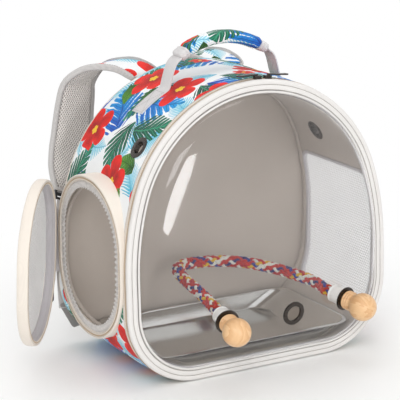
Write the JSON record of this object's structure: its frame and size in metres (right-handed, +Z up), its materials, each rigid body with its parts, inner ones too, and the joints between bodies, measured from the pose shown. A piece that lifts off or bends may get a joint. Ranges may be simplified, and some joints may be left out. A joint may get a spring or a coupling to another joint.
{
  "type": "bird travel carrier",
  "caption": "Soft-sided bird backpack carrier with clear domed front window, rope perch, steel tray, round zipped side door, handle and straps.",
  "frame": {"origin": "middle of the flat base, on the ground", "axes": "+Z up, -Y towards the clear window, -X towards the round side door"},
  "size_m": [0.5029, 0.3489, 0.4198],
  "materials": {
    "printed_fabric": "printed polyester canvas, satin",
    "lining_fabric": "matt woven lining",
    "air_mesh_fabric": "padded spacer mesh",
    "cream_binding": "ribbed cream binding",
    "base_board": "fabric-covered board",
    "mesh_fabric": "fine breathable mesh",
    "dark_metal": "gunmetal plating",
    "black_metal": "black enamel",
    "elastic_fabric": "gathered elastic",
    "grey_fabric": "plain weave",
    "webbing": "flat woven webbing",
    "clear_sheet": "clear flexible sheet, glossy",
    "rope": "braided cotton rope",
    "white_plastic": "moulded, glossy",
    "knob_wood": "turned, waxed",
    "tray_steel": "pressed sheet, satin",
    "strap_fabric": "padded mesh face, printed back",
    "black_plastic": "moulded"
  },
  "bodies": {
    "root": {"body_gusset": "printed_fabric", "back_panel": "lining_fabric", "back_pad": "air_mesh_fabric", "back_piping": "cream_binding", "inner_seam_binding": "lining_fabric", "base_board": "base_board", "front_zip_tape": "cream_binding", "side_mesh": "mesh_fabric", "left_vent_eyelet": "dark_metal", "right_vent_eyelet": "dark_metal", "door_collar": "cream_binding", "door_ruffle": "elastic_fabric", "door_hinge_strip": "grey_fabric", "handle_patch_left": "webbing", "handle_patch_right": "webbing", "strap_tab_left": "webbing", "strap_tab_right": "webbing", "window_hinge_strip": "grey_fabric"},
    "window": {"window_border": "cream_binding", "window_seam_piping": "cream_binding", "window_clear": "clear_sheet", "window_eyelet_left": "dark_metal", "window_eyelet_middle": "dark_metal", "window_eyelet_right": "dark_metal", "perch_rope": "rope", "perch_cap_left": "white_plastic", "perch_cap_right": "white_plastic"},
    "perch_knob_left": {"perch_knob_left": "knob_wood"},
    "perch_knob_right": {"perch_knob_right": "knob_wood"},
    "tray": {"steel_tray": "tray_steel"},
    "side_door": {"door_wall": "cream_binding", "door_lining": "grey_fabric", "door_mesh": "mesh_fabric", "door_zip_tape": "cream_binding"},
    "door_zip_slider": {"door_zip_slider": "black_metal"},
    "door_zip_pull": {"door_zip_pull": "black_metal"},
    "zip_slider_left": {"zip_slider_left": "dark_metal"},
    "zip_pull_left": {"zip_pull_left": "dark_metal"},
    "zip_slider_right": {"zip_slider_right": "dark_metal"},
    "zip_pull_right": {"zip_pull_right": "dark_metal"},
    "handle": {"handle_grip": "printed_fabric", "handle_cuff_left": "webbing", "handle_cuff_right": "webbing", "handle_web_left": "webbing", "handle_web_right": "webbing"},
    "strap_left": {"strap_pad_left": "strap_fabric", "strap_buckle_left": "black_plastic", "strap_web_left": "webbing"},
    "strap_right": {"strap_pad_right": "strap_fabric", "strap_buckle_right": "black_plastic", "strap_web_right": "webbing"}
  },
  "joints": [
    {"name": "window_hinge", "type": "hinge", "parent": "root", "child": "window", "pos_m": [0, -0.106, 0], "axis": [1, 0, 0], "range_deg": [0, 35]},
    {"name": "perch_knob_left_turn", "type": "hinge", "parent": "window", "child": "perch_knob_left", "pos_m": [-0.0714, -0.14416, 0.0792], "axis": [-0.14, -0.9812, -0.1327], "continuous": true},
    {"name": "perch_knob_right_turn", "type": "hinge", "parent": "window", "child": "perch_knob_right", "pos_m": [0.11424, -0.13582, 0.07682], "axis": [0.224, -0.9649, -0.1374], "continuous": true},
    {"name": "tray_lift", "type": "slide", "parent": "root", "child": "tray", "axis": [0, 0, 1], "range_m": [0, 0.025]},
    {"name": "side_door_hinge", "type": "hinge", "parent": "root", "child": "side_door", "pos_m": [-0.197, 0.0885, 0.149], "axis": [0.0856, 0.0507, -0.995], "range_deg": [-37, 53]},
    {"name": "door_zip_travel", "type": "slide", "parent": "side_door", "child": "door_zip_slider", "axis": [-0.2277, -0.2292, -0.9464], "range_m": [0, 0.006]},
    {"name": "door_pull_swing", "type": "hinge", "parent": "door_zip_slider", "child": "door_zip_pull", "pos_m": [-0.2012, 0.09097, 0.09576], "axis": [0.555, 0.7681, -0.3195], "range_deg": [0, 30]},
    {"name": "zip_travel_left", "type": "hinge", "parent": "root", "child": "zip_slider_left", "pos_m": [0, -0.0905, 0.18685], "axis": [0, 0.9992, -0.0401], "range_deg": [-72, 0]},
    {"name": "zip_pull_left_flip", "type": "hinge", "parent": "zip_slider_left", "child": "zip_pull_left", "pos_m": [0.00263, -0.08308, 0.37518], "axis": [0, 0.9992, -0.0401], "range_deg": [0, 150]},
    {"name": "zip_travel_right", "type": "hinge", "parent": "root", "child": "zip_slider_right", "pos_m": [0, -0.0905, 0.18685], "axis": [0, 0.9992, -0.0401], "range_deg": [0, 66]},
    {"name": "zip_pull_right_flip", "type": "hinge", "parent": "zip_slider_right", "child": "zip_pull_right", "pos_m": [0.01774, -0.08311, 0.37437], "axis": [0, -0.9992, 0.0401], "range_deg": [0, 150]},
    {"name": "handle_swing", "type": "hinge", "parent": "root", "child": "handle", "pos_m": [0, 0, 0.35815], "axis": [1, 0, 0], "range_deg": [-35, 35], "stiffness_Nm_per_rad": 0.12},
    {"name": "strap_left_swing", "type": "hinge", "parent": "root", "child": "strap_left", "pos_m": [-0.058, 0.091, 0.345], "axis": [-0.3851, 0.0391, -0.922], "range_deg": [0, 15], "stiffness_Nm_per_rad": 0.5},
    {"name": "strap_right_swing", "type": "hinge", "parent": "root", "child": "strap_right", "pos_m": [0.066, 0.087, 0.35], "axis": [0.3569, 0.0519, -0.9327], "range_deg": [0, 15], "stiffness_Nm_per_rad": 0.5}
  ]
}
